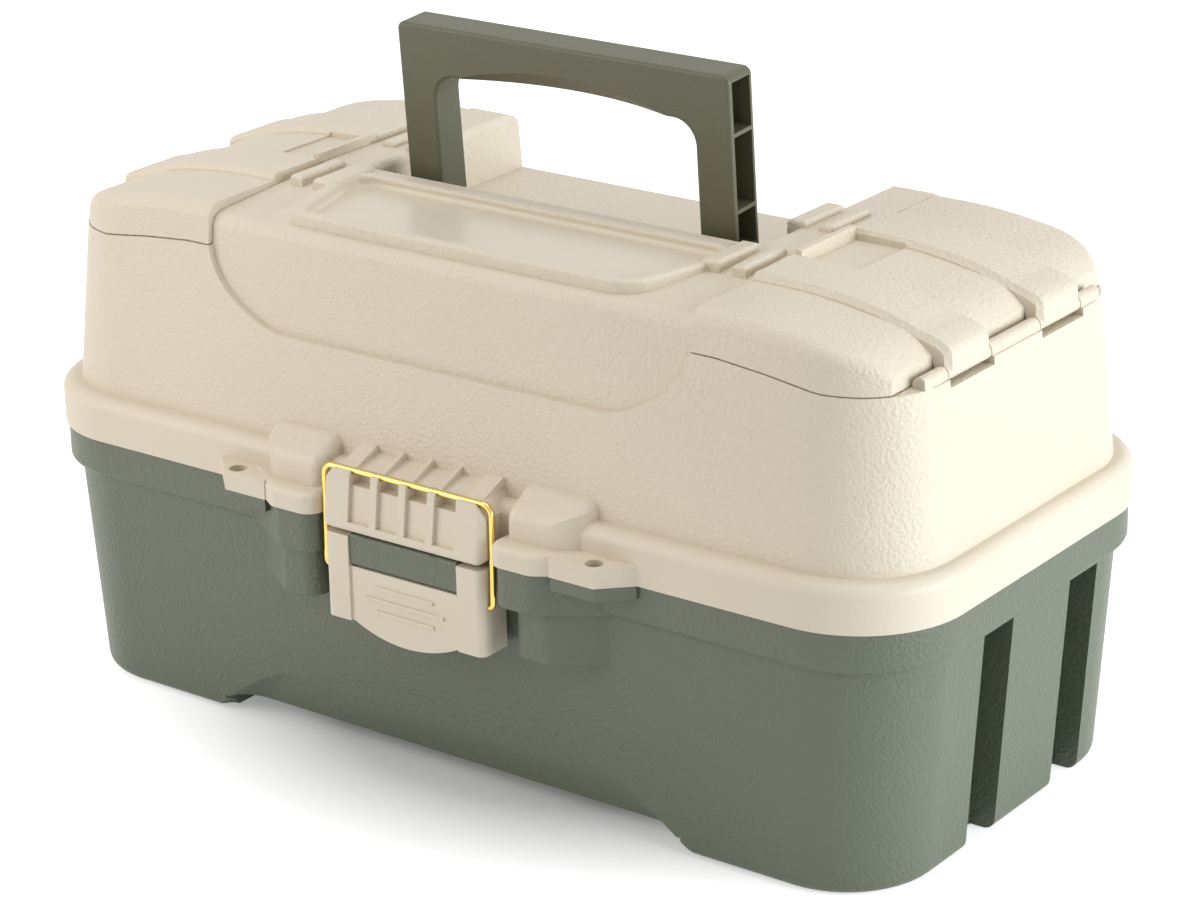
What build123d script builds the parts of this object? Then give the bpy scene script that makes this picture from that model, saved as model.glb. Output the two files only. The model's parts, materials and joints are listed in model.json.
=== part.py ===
from build123d import *
import math
import os

# Tackle box with cantilever trays: millimetres, +X to the right, front at -Y, +Z up.
# The origin is the middle of the case on the surface that it stands on.

# Shared small sizes
overrun = 2.0             # how far a cut runs past what it cuts
wall = 3.0                # moulded wall of base and lid
seat_gap = 0.3            # between pieces that close on each other
fit_gap = 0.05            # radial clearance of a pin in its hole

# Case
case_length = 508.0       # lid flange, end to end
case_depth = 242.0        # lid flange, front to back
flange_radius = 53.0      # corner of the flange in plan
parting_height = 130.0    # where lid and base meet
rim_height = 19.5         # band round the top of the base
rim_inset = 1.5           # rim behind the flange
rim_round = 3.0           # lower edge of the rim
half_length = case_length / 2
half_depth = case_depth / 2
rim_bottom = parting_height - rim_height
rim_top = parting_height - seat_gap

# Base walls
base_end_inset = 6.5      # body under the rim, behind the flange at each end
base_face_inset = 5.5     # the same at front and rear
base_end_taper = 8.0      # how far each end leans in down to the ground
base_face_taper = 4.0     # how far front and rear lean in
base_head_radius = 49.0
base_foot_radius = 45.0
base_foot_round = 6.0
floor_height = 8.0        # underside of the floor between the end feet
base_head_length = case_length - 2 * base_end_inset
base_head_depth = case_depth - 2 * base_face_inset
base_foot_length = base_head_length - 2 * base_end_taper
base_foot_depth = base_head_depth - 2 * base_face_taper

# Arch between the feet, front and rear
foot_length = 95.5        # end of the base to the arch, at the ground
arch_lean = 34.0          # how far each end of the arch leans in
arch_height = 29.0
arch_setback = 9.0        # how far the arch leans in under the wall
arch_corner = 18.0
channel_inset = 8.0       # raised floor inside the ends of the arch
arch_foot_half = base_foot_length / 2 - foot_length
arch_head_half = arch_foot_half - arch_lean
channel_half = arch_foot_half - channel_inset

# Grooves down each end of the base
groove_width = 25.0
groove_front_y = -25.0    # middle of the front groove
groove_rear_y = 50.0
groove_depth = 20.5       # into the end, under the rim
groove_drop = 3.5         # top of the grooves under the rim
groove_floor_x = base_head_length / 2 - groove_depth
groove_top = rim_bottom - groove_drop

# Latch lever, on the front of the base
lever_half = 46.0
lever_stand = 15.0        # front of the lever past the flange
lever_depth = 13.5
lever_low_depth = 17.5    # under the rim
lever_drop = 6.0          # top of the lever under the parting line
lever_height = 42.0
lever_tab_drop = 7.0
lever_tab_half = 30.0
lever_plate = 3.2
lever_rail = 15.0         # width of each side rail
lever_rail_rise = 1.2     # rails in front of the panel between them
lever_window = 15.0       # height of the window for the lug
lever_round = 2.0
lever_side_round = 4.0
grip_ridge_length = 46.0
grip_ridge_height = 1.1
grip_ridge_width = 1.8
grip_ridge_pitch = 6.0
latch_pivot_inset = 3.5   # behind the lever's front
latch_pivot_drop = 6.0    # under the lever's top
latch_pin_radius = 1.6
lug_inset = 0.8           # lug behind the lever's front
lug_rise = 1.2            # lug above the lever's top
lug_gap = 0.6
lever_front_y = -half_depth - lever_stand
lever_rear_y = lever_front_y + lever_depth
lever_low_rear_y = lever_front_y + lever_low_depth
lever_top = parting_height - lever_drop
lever_bottom = lever_top - lever_height
lever_window_low = lever_top - lever_window
latch_pivot_y = lever_front_y + latch_pivot_inset
latch_pivot_z = lever_top - latch_pivot_drop
lug_half = lever_half - lever_rail
lug_front_y = lever_front_y + lug_inset
lug_top = lever_top + lug_rise

# Wire bail
bail_radius = 1.5
bail_clear = 2.45         # middle of the wire beside the lever
bail_bend = 5.0
bail_grip = 8.0           # how far each end reaches into the lever
bail_end_inset = 5.0      # ends behind the lever's front
bail_end_drop = 18.5      # ends under the lever's top
bail_lift = 24.5          # bar above the parting line
bail_half = lever_half + bail_clear
bail_end_y = lever_front_y + bail_end_inset
bail_end_z = lever_top - bail_end_drop
bail_bar_z = parting_height + bail_lift

# Keeper on the lid, over which the bail hooks
keeper_margin = 0.5       # wider than the lever at each side
keeper_drop = 3.5         # lower edge under the parting line
keeper_stand = 16.0       # lower edge past the flange
keeper_lean = 7.5
keeper_root = 11.0        # rear of the keeper, behind the face of the flange
keeper_rear_rise = 6.0    # rear above the wire
keeper_rear_inset = 5.5   # rear narrower than the front, at each side
keeper_shell = 3.4
keeper_side_round = 4.0
keeper_bay = 12.5
keeper_bay_pitch = 16.5
keeper_bay_count = 4
keeper_bay_depth = 2.2
keeper_bay_foot = 4.5     # bottom of the bays above the lower edge
keeper_hole_height = 5.0  # deeper opening at the top of each bay
keeper_hole_depth = 7.0
keeper_fin = 2.0          # between the bays behind the wire
keeper_fin_height = 3.2
keeper_notch = 2.0        # depth of the wire groove
keeper_lip = 2.4          # front wall of the wire groove
keeper_half = lever_half + keeper_margin
keeper_low = parting_height - keeper_drop
keeper_low_y = -half_depth - keeper_stand
keeper_high_y = keeper_low_y + keeper_lean
keeper_rear_y = -half_depth + keeper_root
keeper_rear_height = bail_bar_z + keeper_rear_rise
keeper_rear_half = keeper_half - keeper_rear_inset

# Pads beside the latch: the rim, flange and buttress swell out
pad_clear = 4.5           # beside the lever
pad_flat = 24.5           # straight part of the swelling
pad_fall = 28.0           # where it falls back
pad_reach = 17.5          # of the flange pad past the flange
pad_corner = 8.0          # corners in plan
pad_height = 10.0         # of the flange pad above the parting line
pad_edge_round = 3.0
buttress_height = 25.7
buttress_inset = 3.0      # sloping side of the buttress behind that of the rim pad
buttress_step = 4.0       # front of the buttress, further back than its side
buttress_shift = 2.5      # inner end of the buttress, further out than its side
pad_inner_x = lever_half + pad_clear
pad_flat_x = pad_inner_x + pad_flat
pad_outer_x = pad_flat_x + pad_fall

# Humps on the flange pads
hump_inner_inset = 3.0
hump_outer_inset = 9.5
hump_height = 30.0        # above the parting line
hump_reach = 7.5          # past the flange
hump_corner = 18.0        # outer corner in plan
hump_crest = 2.0          # rise of the crest, back to the lid wall
hump_side_round = 6.0
hump_spring = 18.0        # straight part of the front, above the parting line
hump_knee_share = 0.62
hump_inner_x = pad_inner_x + hump_inner_inset
hump_outer_x = pad_outer_x - hump_outer_inset

# Padlock tabs
tab_overlap = 20.5        # inner end of the tab inside the pad
tab_nose_lead = 4.0       # nose outside the pad
tab_fall = 14.0           # nose to the outer end
tab_reach = 13.5          # front past the flange
tab_thickness = 9.5
tab_step = 6.0            # thickness of the matching tab on the base
tab_step_inset = 0.5
tab_hole_back = 3.4       # hole inside the nose
tab_hole_reach = 7.7      # hole centre past the flange
tab_hole_radius = 4.25
tab_inner_x = pad_outer_x - tab_overlap
tab_nose_x = pad_outer_x + tab_nose_lead
tab_outer_x = tab_nose_x + tab_fall
tab_hole_x = tab_nose_x - tab_hole_back

# Lid walls
flange_height = 22.0
flange_round = 6.0
lid_end_inset = 8.0       # wall behind the flange at each end
lid_face_inset = 9.0      # the same at front and rear
lid_end_taper = 9.5       # how far each end leans in up to the top
lid_face_taper = 10.5     # how far front and rear lean in
lid_foot_radius = 47.0
lid_head_radius = 40.0
lid_rise = 104.0          # flange to the highest part of the deck
lid_top_round = 7.0
flange_top = parting_height + flange_height
lid_foot_length = case_length - 2 * lid_end_inset
lid_foot_depth = case_depth - 2 * lid_face_inset
lid_head_length = lid_foot_length - 2 * lid_end_taper
lid_head_depth = lid_foot_depth - 2 * lid_face_taper
deck_rear_height = flange_top + lid_rise
lid_head_height = deck_rear_height + overrun  # level at which the upper plan holds

# Middle of the lid top
cover_zone = 98.9         # length of the lid under each cover
deck_drop = 6.0           # slope of the deck, rear to front
deck_rear_y = -15.0       # edge of the handle well
tower_width = 25.6        # of the deck beside the handle well
well_depth = 29.0
well_edge_round = 4.0
panel_depth = 3.0         # set-back of the middle of the front wall
panel_side = 47.6         # end of the deck to the straight part of the panel
panel_corner_drop = 14.0  # corner of the panel under the deck
panel_height = 35.0       # corner to the straight part
panel_knee_share = 0.2    # height of the knee in the panel's lower edge, and its lean at the top
deck_half = lid_head_length / 2 - cover_zone
deck_front_height = deck_rear_height - deck_drop
well_half = deck_half - tower_width
well_floor = deck_rear_height - well_depth
panel_half = deck_half - panel_side
panel_corner_height = deck_front_height - panel_corner_drop
panel_low = panel_corner_height - panel_height

# Dish in the deck
dish_overlap = 5.5        # rear corners past the sides of the well
dish_taper = 18.0         # front corners inside the rear ones
dish_front_margin = 8.5
dish_rear_margin = 6.0
dish_rim = 6.0
dish_rim_height = 1.2     # level rim above the rear of the deck
dish_depth = 5.5
dish_corner = 16.0
dish_round = 1.8
dish_floor_round = 2.5
level_face_share = 0.9    # upward share of a face that counts as level
dish_rear_half = well_half + dish_overlap
dish_front_half = dish_rear_half - dish_taper
dish_front_y = -lid_head_depth / 2 + dish_front_margin
dish_rear_y = deck_rear_y - dish_rear_margin
dish_top = deck_rear_height + dish_rim_height

# Covers of the end bins
cover_inner_gap = 0.4     # cover to the deck
cover_hinge_inset = 2.0   # hinge inside the end of the lid
cover_outer_inset = 5.0   # end of the cover inside the hinge
cover_sink = 0.5          # cover under the deck
cover_height = 24.0       # hinge to the top of the cover
cover_shell = 3.0
cover_gap = 0.6
cover_side_inset = 0.4
cover_edge_round = 8.0
cover_skirt_drop = 1.2    # lowest line of the skirt under the hinge
cover_skirt_rise = 6.2
band_inner_y = 21.0       # raised bands, each side of the middle
band_width = 35.0
band_rise = 3.2
band_chamfer = 2.6
barrel_radius = 3.5
cover_pin_radius = 1.5
knuckle_gap = 0.6         # along the hinge
knuckle_length = 18.0     # outer knuckles
catch_height = 5.0
catch_thickness = 3.2
catch_half = 22.0
finger_length = 27.0
finger_depth = 1.6
cover_top_shares = ((0.0, 1.0), (0.35, 0.975), (0.68, 0.81), (0.92, 0.54), (1.0, 0.3))
cover_skirt_shares = ((0.0, 1.0), (0.15, 0.98), (0.42, 0.62), (0.72, 0.05), (0.9, 0.0))
cover_inner_x = deck_half + cover_inner_gap
cover_hinge_x = lid_head_length / 2 - cover_hinge_inset
cover_outer_x = cover_hinge_x - cover_outer_inset
cover_length = cover_outer_x - cover_inner_x
cover_top = deck_rear_height - cover_sink
cover_hinge_z = cover_top - cover_height
cover_skirt_low = cover_hinge_z - cover_skirt_drop
cover_skirt_high = cover_skirt_low + cover_skirt_rise
band_outer_y = band_inner_y + band_width
band_nose_x = cover_hinge_x + barrel_radius
knuckle_outer_y = band_outer_y + knuckle_length

# Bins under the covers
bin_outer_inset = 1.5     # inside the end of the cover
bin_face_wall = 9.5       # front and rear, at the top
bin_depth = 36.5          # under the cover's hinge
bin_corner = 8.5          # outer corners, inside the rounded corners of the lid
bin_inner_x = cover_inner_x + cover_shell
bin_outer_x = cover_outer_x - bin_outer_inset
bin_half_depth = lid_head_depth / 2 - bin_face_wall
bin_floor = cover_hinge_z - bin_depth
lid_ceiling = bin_floor - wall

# Guard bars on the deck, either side of each catch
guard_half_width = 5.0
guard_near_y = 18.0
guard_far_y = 51.0
guard_height = 3.0
guard_round = 2.2
guard_inner_x = well_half - guard_half_width
guard_outer_x = well_half + guard_half_width
guard_pitch = 15.5        # to the second, narrower bar
guard_second = 7.0        # its width

# Handle
handle_side_room = 17.0   # in the well beside each leg
handle_leg = 20.0
handle_grip = 24.0        # height of the grip
handle_depth = 19.0
handle_rise = 93.5        # pivot to the top of the grip
handle_pivot_set = 20.0   # pivot behind the edge of the well
handle_pivot_lift = 10.5  # pivot above the well floor
handle_lean = 4.2         # degrees forward of upright
handle_corner = 4.0
handle_inner_corner = 12.0
handle_scoop_half = 62.0  # scoop under the front of the grip
handle_scoop_height = 9.5
handle_scoop_depth = 11.0
handle_edge_round = 1.6
handle_skin = 2.6
handle_rib = 2.0
handle_rib_levels = (28.5, 65.0)
handle_pin_radius = 3.0
handle_lug = 8.0
handle_lug_gap = 0.5
handle_half = well_half - handle_side_room
handle_pivot_y = deck_rear_y + handle_pivot_set
handle_pivot_z = well_floor + handle_pivot_lift

# Rear hinge
hinge_drop = 2.0          # axis under the parting line
hinge_radius = 6.0
hinge_pin_radius = 2.5
hinge_end_inset = 104.0   # middle of each hinge from the end of the case
hinge_lid_knuckle = 30.0
hinge_base_knuckle = 15.0
hinge_gap = 0.5
hinge_arm_height = 13.0
hinge_y = half_depth + pad_reach - hinge_radius  # stands out behind as far as the pads in front
hinge_z = parting_height - hinge_drop
hinge_station_x = half_length - hinge_end_inset

# Trays
tray_end_room = 44.0      # end of a tray to the end of the case
tray_front_room = 18.0    # front of a tray to the front of the case
tray_depth = 118.0
tray_height = 32.0
tray_stack_gap = 2.0
tray_drop = 58.0          # floor of the lowest tray under the parting line
tray_wall = 2.0
tray_ear = 3.0
tray_ear_radius = 8.0
tray_bays = 6
divider_thickness = 1.6
divider_gap = 0.2
divider_drop = 3.0        # divider top under the tray rim
divider_guide = 1.4
tray_half = half_length - tray_end_room
tray_front_y = -half_depth + tray_front_room
tray_low = parting_height - tray_drop
tray_pitch = tray_height + tray_stack_gap

# Tray arms and lid links
arm_pivot_inset = 5.0     # front arm's base pivot in front of the rear of the trays
arm_pivot_lift = 1.0      # above the floor of the lowest tray
arm_spacing = 30.0        # front arm to rear arm
arm_reaches = (50.0, 85.0, 120.0)
arm_angle = 30.0          # degrees above level when closed
arm_width = 11.0
arm_thickness = 3.0
arm_side_gap = 0.4
rivet_radius = 3.0
rivet_head_radius = 5.0
rivet_head = 1.5
rivet_seat = 6.0          # how deep a rivet sits in its boss
boss_radius = 8.0
link_reach = 68.0         # from the arm pivot to the link
link_width = 10.0
link_thickness = 2.5
link_side_gap = 2.4       # arm to link
arm_pivot_y = tray_front_y + tray_depth - arm_pivot_inset
arm_pivot_z = tray_low + arm_pivot_lift
arm_inner_x = tray_half + tray_ear + arm_side_gap
arm_outer_x = arm_inner_x + arm_thickness
link_inner_x = arm_outer_x + link_side_gap
link_outer_x = link_inner_x + link_thickness


def span(low, high):
    """Box between two corners."""
    size = [b - a for a, b in zip(low, high)]
    middle = [(a + b) / 2 for a, b in zip(low, high)]
    return Pos(*middle) * Box(*size)


def both(right):
    """A piece for the right side with its mirror image on the left."""
    return right + mirror(right, about=Plane.YZ)


def rod_x(radius, start, end, y, z):
    """Round bar along X."""
    return Pos((start + end) / 2, y, z) * Rot(0, 90, 0) * Cylinder(radius, end - start)


def rod_y(radius, start, end, x, z):
    """Round bar along Y."""
    return Pos(x, (start + end) / 2, z) * Rot(90, 0, 0) * Cylinder(radius, end - start)


def along_y(points, start, end):
    """Solid with an outline in X and Z, from one Y to another."""
    face = make_face(Polyline(*[(x, start, z) for x, z in points], close=True))
    return extrude(face, end - start, dir=(0, 1, 0))


def along_x(points, start, end):
    """Solid with an outline in Y and Z, from one X to another."""
    face = make_face(Polyline(*[(start, y, z) for y, z in points], close=True))
    return extrude(face, end - start, dir=(1, 0, 0))


def between(foot, head, share):
    return foot + (head - foot) * share


def base_slab(height, inset):
    """Plan of the base body at a height, drawn in by an inset."""
    share = height / rim_bottom
    length = between(base_foot_length, base_head_length, share) - 2 * inset
    depth = between(base_foot_depth, base_head_depth, share) - 2 * inset
    radius = between(base_foot_radius, base_head_radius, share) - inset
    return Pos(0, 0, height) * RectangleRounded(length, depth, radius)


def lid_slab(height, inset):
    """Plan of the lid wall at a height, drawn in by an inset."""
    share = (height - flange_top) / (lid_head_height - flange_top)
    length = between(lid_foot_length, lid_head_length, share) - 2 * inset
    depth = between(lid_foot_depth, lid_head_depth, share) - 2 * inset
    radius = between(lid_foot_radius, lid_head_radius, share) - inset
    return Pos(0, 0, height) * RectangleRounded(length, depth, radius)


def lid_block(low, high, inset):
    return loft([lid_slab(low, inset), lid_slab(high, inset)], ruled=True)


def flange_block(low, high, inset):
    """Upright block with the flange's plan, drawn in by an inset."""
    plan = RectangleRounded(case_length - 2 * inset, case_depth - 2 * inset, flange_radius - inset)
    return extrude(Pos(0, 0, low) * plan, high - low)


def pad_block(low, high, inset, step, shift):
    """Swelling of the flange beside the latch, on the right, with its front and inner end set back."""
    face_y = -half_depth + inset
    nose_y = face_y - pad_reach + step
    back_y = -half_depth + base_foot_round + wall
    slope = pad_fall / pad_reach
    inner_x = pad_inner_x + inset + shift
    outline = Polyline(
        (inner_x, back_y),
        (inner_x, nose_y),
        (pad_flat_x - inset + slope * step, nose_y),
        (pad_outer_x - inset + slope * (back_y - face_y), back_y),
        close=True,
    )
    face = make_face(outline)
    plan = fillet(face.vertices().group_by(Axis.Y)[0], pad_corner)
    return extrude(Pos(0, 0, low) * plan, high - low)


def tab_block(low, high, inset):
    """Padlock tab on the right, straight in front, with a sloping outer end."""
    back_y = -half_depth + wall + rim_inset
    nose_y = -half_depth - tab_reach + inset
    outline = [
        (tab_inner_x + inset, back_y, low),
        (tab_inner_x + inset, nose_y, low),
        (tab_nose_x, nose_y, low),
        (tab_outer_x - inset, -half_depth, low),
        (tab_outer_x - inset, back_y, low),
    ]
    return extrude(make_face(Polyline(*outline, close=True)), high - low, dir=(0, 0, 1))


def tab_hole(low, high):
    return Pos(tab_hole_x, -half_depth - tab_hole_reach, (low + high) / 2) * Cylinder(
        tab_hole_radius, high - low + 2 * overrun
    )


def arch_block(grow):
    """Space under the front arch, grown by a wall where it guards the inside."""
    face_y = -base_foot_depth / 2
    roof = arch_height + grow
    back_y = face_y + arch_setback + grow
    lean = (arch_height - floor_height) / arch_setback
    front_y = face_y - arch_setback
    wedge = [
        (front_y, -overrun),
        (front_y, roof + lean * (face_y + grow - front_y)),
        (back_y, floor_height + grow),
        (back_y, -overrun),
    ]
    slope = (arch_foot_half - arch_head_half) / arch_height
    top = 2 * arch_height
    ends = [
        (arch_foot_half + slope * overrun + grow, -overrun),
        (arch_foot_half - slope * top + grow, top),
        (slope * top - arch_foot_half - grow, top),
        (-arch_foot_half - slope * overrun - grow, -overrun),
    ]
    space = along_x(wedge, -half_length, half_length) & along_y(ends, front_y, back_y)
    corners = space.edges().filter_by(lambda e: min(e.bounding_box().size.X, e.bounding_box().size.Y) > wall)
    return fillet(corners, arch_corner)


def groove_block(middle_y, grow):
    """One groove in the right end, grown by a wall where it guards the inside."""
    return span(
        (groove_floor_x - grow, middle_y - groove_width / 2 - grow, -overrun),
        (half_length, middle_y + groove_width / 2 + grow, groove_top + grow),
    )


def base_cavity():
    inner_floor = floor_height + wall
    step = rim_bottom + wall
    cavity = loft([base_slab(inner_floor, wall), base_slab(step, wall)], ruled=True)
    cavity += flange_block(step, parting_height + overrun, rim_inset + wall)
    for middle_y in (groove_front_y, groove_rear_y):
        cavity -= both(groove_block(middle_y, wall))
    arch = arch_block(wall)
    return cavity - arch - mirror(arch, about=Plane.XZ)


def hinge_arm(width, x, low, high, inner_y):
    """Knuckle round the rear hinge axis with the arm that carries it."""
    start = x - width / 2
    end = x + width / 2
    knuckle = rod_x(hinge_radius, start, end, hinge_y, hinge_z)
    arm = span((start, inner_y, low), (end, hinge_y, high))
    bore = rod_x(hinge_pin_radius + fit_gap, start - overrun, end + overrun, hinge_y, hinge_z)
    return knuckle + arm - bore


def base_hinge_arms():
    offset = (hinge_lid_knuckle + hinge_base_knuckle) / 2 + hinge_gap
    low = hinge_z - hinge_arm_height
    arms = Part()
    for x in (hinge_station_x - offset, hinge_station_x + offset):
        arms += hinge_arm(hinge_base_knuckle, x, low, hinge_z, half_depth - rim_inset - wall / 2)
    return arms


def arm_bosses():
    """Pillars inside the right end that carry the arm rivets."""
    start = arm_outer_x + arm_side_gap
    end = base_head_length / 2 - wall / 2
    bosses = Part()
    for y in (arm_pivot_y, arm_pivot_y + arm_spacing):
        boss = rod_x(boss_radius, start, end, y, arm_pivot_z)
        boss -= rod_x(rivet_radius + fit_gap, start - overrun, start + rivet_seat, y, arm_pivot_z)
        bosses += boss
    for middle_y in (groove_front_y, groove_rear_y):
        bosses -= groove_block(middle_y, wall / 2)
    return bosses & loft([base_slab(0, wall / 2), base_slab(rim_bottom, wall / 2)], ruled=True)


def latch_lug():
    """Lug on the front wall that carries the lever's pivot pin."""
    back_y = -half_depth + 2 * wall
    lug = span((-lug_half, lug_front_y, lever_window_low + lug_gap), (lug_half, back_y, lug_top))
    lug = fillet(lug.edges().filter_by(Axis.X).group_by(Axis.Y)[0], lever_round)
    bore = rod_x(latch_pin_radius + fit_gap, -half_length, half_length, latch_pivot_y, latch_pivot_z)
    return lug - bore


def base_tub():
    body = loft([base_slab(0, 0), base_slab(rim_bottom, 0)], ruled=True)
    body = fillet(body.edges().group_by(Axis.Z)[0], base_foot_round)
    rim = flange_block(rim_bottom, rim_top, rim_inset)
    rim = fillet(rim.edges().group_by(Axis.Z)[0], rim_round)
    body += rim
    pad = pad_block(rim_bottom, rim_top, rim_inset, 0, 0)
    low = rim_bottom - buttress_height
    inset = rim_inset + buttress_inset
    buttress = pad_block(low, rim_top - wall, inset, buttress_step, buttress_shift)
    tab = tab_block(rim_top - tab_step, rim_top, tab_step_inset)
    body += both(pad + buttress + tab)
    body -= base_cavity()
    for middle_y in (groove_front_y, groove_rear_y):
        body -= both(groove_block(middle_y, 0))
    arch = arch_block(0)
    channel = span((-channel_half, -half_depth, -overrun), (channel_half, half_depth, floor_height))
    body -= arch + mirror(arch, about=Plane.XZ) + channel
    body -= both(tab_hole(rim_top - tab_step, rim_top))
    return body + latch_lug() + both(base_hinge_arms() + arm_bosses())


def deck_height(y):
    """Level of the sloping deck at a place between front and rear."""
    slope = (deck_rear_height - deck_front_height) / (deck_rear_y + lid_head_depth / 2)
    return deck_rear_height + slope * (y - deck_rear_y)


def deck_outline(low):
    """Outline in Y and Z of the deck between the covers, down to a level."""
    return [
        (-half_depth, low),
        (-half_depth, deck_height(-half_depth)),
        (deck_rear_y, deck_rear_height),
        (half_depth, deck_rear_height),
        (half_depth, low),
    ]


def skirt_points(drop):
    """Lower line of a cover's skirt, from the inner edge outwards."""
    rise = cover_skirt_high - cover_skirt_low
    low = cover_skirt_low - drop
    return [(cover_inner_x + cover_length * along, low + rise * up) for along, up in cover_skirt_shares]


def cover_points(raise_by):
    """Upper line of a cover, from the inner edge outwards."""
    rise = cover_top - cover_hinge_z
    low = cover_hinge_z + raise_by
    return [(cover_inner_x + cover_length * along, low + rise * up) for along, up in cover_top_shares]


def profile_block(curve_points, floor, start, end, shorten):
    """Solid under a smooth line in X and Z, down to a level floor."""
    inner_x = curve_points[0][0] + shorten
    outer_x = curve_points[-1][0] - shorten
    curve = Spline(*[(x, start, z) for x, z in curve_points])
    if shorten > 0:
        curve = Spline(*[(min(max(x, inner_x), outer_x), start, z) for x, z in curve_points])
    sides = Polyline(curve @ 1, (outer_x, start, floor), (inner_x, start, floor), curve @ 0)
    return extrude(make_face([curve, sides]), end - start, dir=(0, 1, 0))


def cover_space():
    """Everything above the line that the right cover closes on."""
    line = skirt_points(cover_gap)
    inner_x = deck_half
    outline = [(inner_x, line[0][1])]
    outline += line
    outline += [(half_length, line[-1][1]), (half_length, lid_head_height + overrun)]
    outline += [(inner_x, lid_head_height + overrun)]
    return along_y(outline, -half_depth, half_depth)


def front_panel():
    """Set-back panel in the front wall, between the covers."""
    top = lid_head_height + overrun
    knee_x = (panel_half + deck_half) / 2
    knee_z = between(panel_low, panel_corner_height, panel_knee_share)
    right = Spline(
        (panel_half, -half_depth, panel_low),
        (knee_x, -half_depth, knee_z),
        (deck_half, -half_depth, panel_corner_height),
        tangents=((1, 0, 0), (panel_knee_share, 0, 1)),
    )
    left = mirror(right, about=Plane.YZ)
    rest = Polyline(
        (deck_half, -half_depth, panel_corner_height),
        (deck_half, -half_depth, top),
        (-deck_half, -half_depth, top),
        (-deck_half, -half_depth, panel_corner_height),
    )
    low = Line((-panel_half, -half_depth, panel_low), (panel_half, -half_depth, panel_low))
    prism = extrude(make_face([low, right, rest, left]), half_depth / 2, dir=(0, 1, 0))
    return prism - lid_block(flange_top, lid_head_height + overrun, panel_depth)


def dish_plan(inset, height):
    front = dish_front_half - inset
    rear = dish_rear_half - inset
    outline = Polyline(
        (-front, dish_front_y + inset),
        (front, dish_front_y + inset),
        (rear, dish_rear_y - inset),
        (-rear, dish_rear_y - inset),
        close=True,
    )
    face = make_face(outline)
    return Pos(0, 0, height) * fillet(face.vertices(), dish_corner - inset)


def dish_column(inset, low, high):
    """Upright block with the dish's plan, drawn in by an inset."""
    return extrude(dish_plan(inset, low), high - low)


def keeper():
    """Hooded keeper in the middle of the lid's front, ribbed, with a groove for the bail."""
    groove_y = bail_end_y + bail_radius / 2
    top = bail_bar_z - bail_radius - seat_gap + keeper_notch
    profile = [
        (keeper_low_y, keeper_low),
        (keeper_high_y - keeper_lip - bail_radius, top),
        (groove_y + bail_radius + keeper_notch, top),
        (keeper_rear_y - keeper_notch, keeper_rear_height),
        (keeper_rear_y, keeper_rear_height),
        (keeper_rear_y, keeper_low),
    ]
    body = along_x(profile, -keeper_half, keeper_half)
    body = fillet(body.edges().filter_by(Axis.X).group_by(Axis.Y)[0], lever_round)
    shoulder = bail_bend + bail_radius
    outline = [
        (-keeper_half, keeper_low),
        (-keeper_half, top - shoulder),
        (-keeper_rear_half, top),
        (-keeper_rear_half, keeper_rear_height),
        (keeper_rear_half, keeper_rear_height),
        (keeper_rear_half, top),
        (keeper_half, top - shoulder),
        (keeper_half, keeper_low),
    ]
    body &= along_y(outline, keeper_low_y, keeper_rear_y)
    front = body.edges().filter_by(lambda e: e.center().Y < keeper_high_y and e.center().Z < top - shoulder)
    body = fillet(front.filter_by(lambda e: e.bounding_box().size.X < seat_gap), keeper_side_round)
    foot = span((-half_length, -half_depth, 0), (half_length, 0, parting_height))
    body -= foot
    groove = rod_x(bail_radius + seat_gap, -half_length, half_length, groove_y, bail_bar_z)
    groove += span(
        (-half_length, groove_y - bail_radius - seat_gap, bail_bar_z),
        (half_length, groove_y + bail_radius + seat_gap, lid_head_height),
    )
    body -= groove
    inside = span(
        (-keeper_half + keeper_shell, keeper_low_y + 2 * keeper_shell, keeper_low - overrun),
        (keeper_half - keeper_shell, -half_depth - seat_gap, parting_height + seat_gap),
    )
    body -= inside
    return body - keeper_bays(top)


def keeper_bays(top):
    """Bays in the keeper's front, a deeper opening at the top of each, and bays behind the wire."""
    crest_y = keeper_high_y - keeper_lip - bail_radius
    lean = math.degrees(math.atan2(crest_y - keeper_low_y, top - keeper_low))
    low = keeper_low + keeper_bay_foot
    middle_y = between(keeper_low_y, crest_y, keeper_bay_foot / (top - keeper_low) / 2 + 1 / 2)
    rear_low = keeper_rear_height - keeper_fin_height
    bays = Part()
    for number in range(keeper_bay_count):
        x = keeper_bay_pitch * (number - (keeper_bay_count - 1) / 2)
        bay = Box(keeper_bay, 2 * keeper_bay_depth, top - low + overrun)
        bays += Pos(x, middle_y, (top + low + overrun) / 2) * Rot(-lean, 0, 0) * bay
        half = keeper_bay / 2
        hole_low = (x - half, crest_y - keeper_lip, bail_bar_z - bail_radius - keeper_hole_height)
        bays += span(hole_low, (x + half, crest_y + keeper_hole_depth, bail_bar_z))
        half = (keeper_bay_pitch - keeper_fin) / 2
        near_y = bail_end_y + keeper_lip + bail_radius
        slant = [(near_y, bail_bar_z - bail_radius), (near_y, lid_head_height)]
        slant += [(keeper_rear_y, lid_head_height), (keeper_rear_y, rear_low)]
        bays += along_x(slant, x - half, x + half)
    return bays


def hump_plan(low, high):
    """Upright block with the plan of the right hump, its outer front corner rounded."""
    block = span(
        (hump_inner_x, -half_depth - hump_reach, low),
        (hump_outer_x, -lid_head_depth / 2, high),
    )
    corner = block.edges().filter_by(Axis.Z).group_by(Axis.Y)[0].sort_by(Axis.X)[-1]
    return fillet(corner, hump_corner)


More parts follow.
